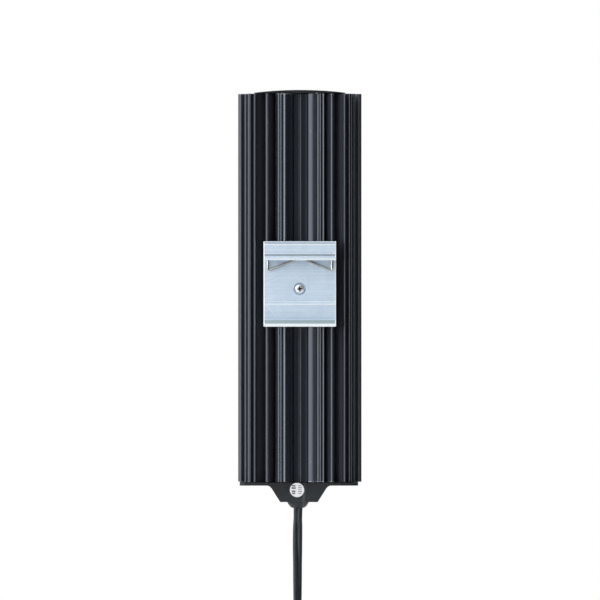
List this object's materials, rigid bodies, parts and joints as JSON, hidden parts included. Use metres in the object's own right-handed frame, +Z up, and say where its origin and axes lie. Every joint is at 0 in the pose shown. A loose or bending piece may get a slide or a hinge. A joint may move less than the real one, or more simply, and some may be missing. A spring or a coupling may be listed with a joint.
{
  "type": "finned enclosure heater",
  "caption": "Tall finned convection heater for an electrical enclosure, with a rail clip with a spring wire on its back, end caps and a hanging lead.",
  "frame": {"origin": "on the rail clip's plate, on its centre line, where the rail's lower flange bears, 13 mm below the clip's screw", "axes": "+Z up along the extrusion; -Y out of the clip's face, towards the rail, so +Y runs from the rail into the heater; +X to the right seen from the rail's side"},
  "size_m": [0.07, 0.0591, 0.4334],
  "materials": {
    "black_anodised": "black anodised, satin",
    "clip_aluminium": "natural, as extruded",
    "plain_aluminium": "plain sheet and bar",
    "steel": "bright plated",
    "spring_steel": "plated wire",
    "black_moulding": "fine moulded grain",
    "white_ceramic": "unglazed ceramic",
    "amber_film": "polyimide film",
    "red_silicone": "silicone insulation",
    "sticker_white": "blank paper-like film",
    "cord_sheath": "satin sheath",
    "core_brown": "smooth insulation",
    "core_blue": "smooth insulation"
  },
  "bodies": {
    "root": {"heatsink_extrusion": "black_anodised", "top_cap": "black_moulding", "top_cap_screw_1": "steel", "top_cap_screw_2": "steel", "top_cap_screw_3": "steel", "top_cap_screw_4": "steel", "upper_insulator": "white_ceramic", "insulating_sleeve": "amber_film", "back_electrode": "plain_aluminium", "front_electrode": "plain_aluminium", "heating_stone_1": "white_ceramic", "heating_stone_2": "white_ceramic", "heating_stone_3": "white_ceramic", "heating_stone_4": "white_ceramic", "pressure_bar": "plain_aluminium", "lower_insulator": "white_ceramic", "push_terminal_1": "steel", "push_terminal_2": "steel", "inner_lead_1": "red_silicone", "inner_lead_2": "red_silicone", "connection_box": "black_moulding", "box_screw_left": "steel", "box_screw_right": "steel", "box_cover": "black_moulding", "cover_screw_left": "steel", "cover_screw_right": "steel", "cord_clamp": "black_moulding", "clamp_screw_left": "steel", "clamp_screw_right": "steel", "terminal_block": "white_ceramic", "terminal_screw_left": "steel", "terminal_screw_right": "steel", "cord_core_1": "core_brown", "cord_core_2": "core_blue", "rail_clip": "clip_aluminium", "clip_screw": "steel", "clip_spring": "spring_steel", "inspection_sticker": "sticker_white", "cord": "cord_sheath", "cord_hank": "cord_sheath", "hank_tie": "black_moulding", "core_end_1": "core_brown", "core_end_2": "core_blue", "ferrule_1": "steel", "ferrule_2": "steel"}
  },
  "joints": []
}
